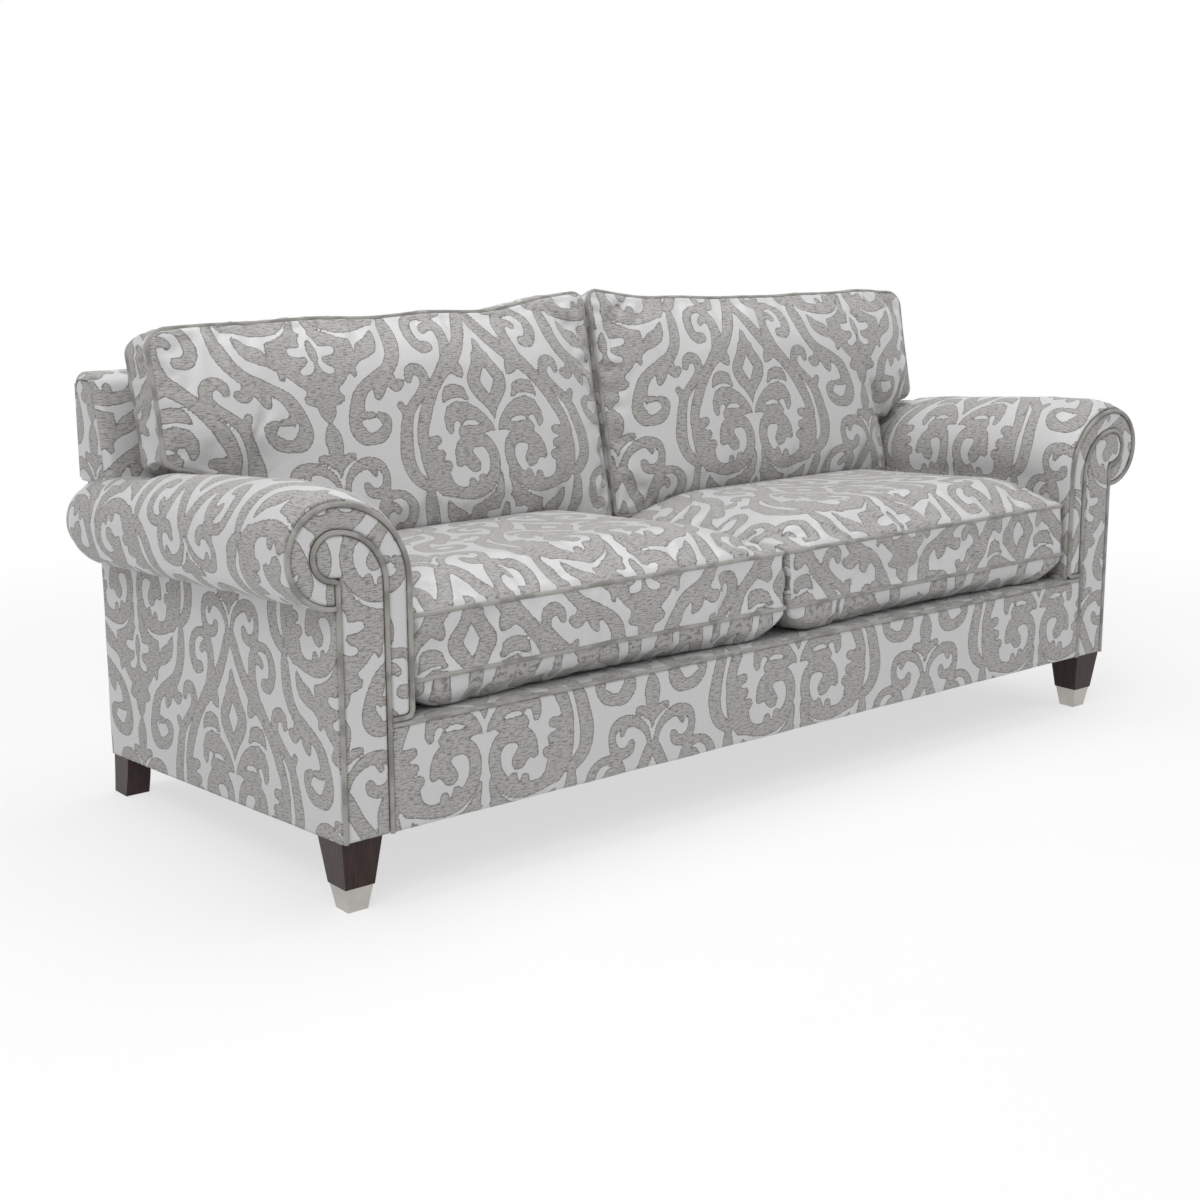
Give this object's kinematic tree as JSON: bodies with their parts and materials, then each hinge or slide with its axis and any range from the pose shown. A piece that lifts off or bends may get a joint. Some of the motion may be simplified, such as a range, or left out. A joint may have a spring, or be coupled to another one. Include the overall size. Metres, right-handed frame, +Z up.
{
  "type": "sofa",
  "caption": "Roll-arm sofa with scroll facings, loose boxed seat cushions, loose back cushions notched over the arms, square tapered front legs with metal ferrules.",
  "frame": {"origin": "on the floor, under the middle of the sofa's overall width and depth", "axes": "+X to the right as seen from the front, +Y to the back, +Z up; the sofa faces -Y"},
  "size_m": [2.26, 0.911, 0.998],
  "materials": {
    "damask_cloth": "satin silver-grey ground with a matt grey damask",
    "piping": "self-grey covered cord",
    "dark_wood": "dark mahogany-brown satin lacquer",
    "nickel": "satin nickel",
    "frame_timber": "bare hardwood and ply",
    "wadding": "polyester and foam padding",
    "cushion_foam": "foam and feather core",
    "jute": "woven jute",
    "dust_cloth": "black non-woven cloth",
    "steel": "bare steel"
  },
  "bodies": {
    "sofa_frame": {"front_rail": "frame_timber", "rear_rail": "frame_timber", "spring_rail": "frame_timber", "side_rail_left": "frame_timber", "side_rail_right": "frame_timber", "centre_stretcher": "frame_timber", "corner_blocks": "frame_timber", "arm_post_left": "frame_timber", "arm_post_right": "frame_timber", "rear_arm_posts": "frame_timber", "scroll_rails": "frame_timber", "facing_board_left": "frame_timber", "facing_board_right": "frame_timber", "back_post_left": "frame_timber", "back_post_middle": "frame_timber", "back_post_right": "frame_timber", "back_top_rail": "frame_timber", "back_wings": "frame_timber", "arm_linings": "frame_timber", "seat_springs": "steel", "spring_clips": "steel", "seat_hessian": "jute", "back_webbing": "jute", "arm_pad_left": "wadding", "arm_pad_right": "wadding", "outside_arm_wadding": "wadding", "deck_pad": "wadding", "front_rail_pad": "wadding", "back_pad": "wadding", "outside_back_wadding": "wadding", "arm_cover_left": "damask_cloth", "arm_cover_right": "damask_cloth", "outside_arm_left": "damask_cloth", "outside_arm_right": "damask_cloth", "facing_panel_left": "damask_cloth", "facing_panel_right": "damask_cloth", "facing_border_left": "damask_cloth", "facing_border_right": "damask_cloth", "roll_caps": "damask_cloth", "front_rail_cover": "damask_cloth", "deck_cover": "damask_cloth", "inside_back_cover": "damask_cloth", "outside_back_cover": "damask_cloth", "dust_cloth": "dust_cloth", "outer_cords": "piping", "inner_cords": "piping", "rail_cord": "piping", "front_legs": "dark_wood", "ferrules": "nickel", "rear_legs": "dark_wood", "leg_bolts": "steel", "facing_screws": "steel"},
    "seat_cushion_left": {"seat_cushion_left": "damask_cloth", "seat_core_left": "cushion_foam"},
    "seat_cushion_right": {"seat_cushion_right": "damask_cloth", "seat_core_right": "cushion_foam"},
    "back_cushion_left": {"back_cushion_left": "damask_cloth", "back_core_left": "cushion_foam"},
    "back_cushion_right": {"back_cushion_right": "damask_cloth", "back_core_right": "cushion_foam"}
  },
  "joints": [
    {"name": "seat_cushion_left_pull_out", "type": "slide", "parent": "sofa_frame", "child": "seat_cushion_left", "axis": [0, -0.9982, 0.0593], "range_m": [0, 0.35]},
    {"name": "seat_cushion_right_pull_out", "type": "slide", "parent": "sofa_frame", "child": "seat_cushion_right", "axis": [0, -0.9982, 0.0593], "range_m": [0, 0.35]},
    {"name": "back_cushion_left_lift", "type": "slide", "parent": "sofa_frame", "child": "back_cushion_left", "axis": [0, 0, 1], "range_m": [0, 0.35]},
    {"name": "back_cushion_right_lift", "type": "slide", "parent": "sofa_frame", "child": "back_cushion_right", "axis": [0, 0, 1], "range_m": [0, 0.35]}
  ]
}
